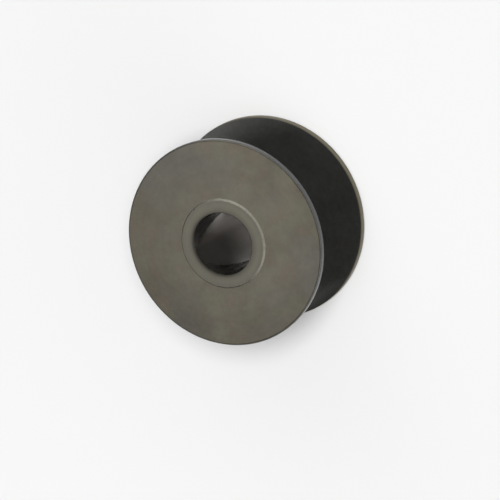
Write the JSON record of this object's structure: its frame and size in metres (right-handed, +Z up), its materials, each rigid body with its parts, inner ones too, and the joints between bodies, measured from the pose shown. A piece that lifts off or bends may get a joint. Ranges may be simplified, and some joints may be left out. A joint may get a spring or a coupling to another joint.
{
  "type": "sewing machine bobbin",
  "caption": "Turned metal spool with thin flat flanges, a narrow hub, low raised end bosses and a through bore, to hold the lower thread in a sewing machine.",
  "frame": {"origin": "on the bore's axis, at the face of the lower boss that the bobbin stands on", "axes": "+Z up along the bore; X and Y lie in the plane of the flanges, and any direction there is the same"},
  "size_m": [0.0205, 0.0204, 0.0113],
  "materials": {
    "dark_steel": "satin, blackened steel with fine turning marks and a warm olive-grey cast"
  },
  "bodies": {
    "root": {"bobbin": "dark_steel"}
  },
  "joints": []
}
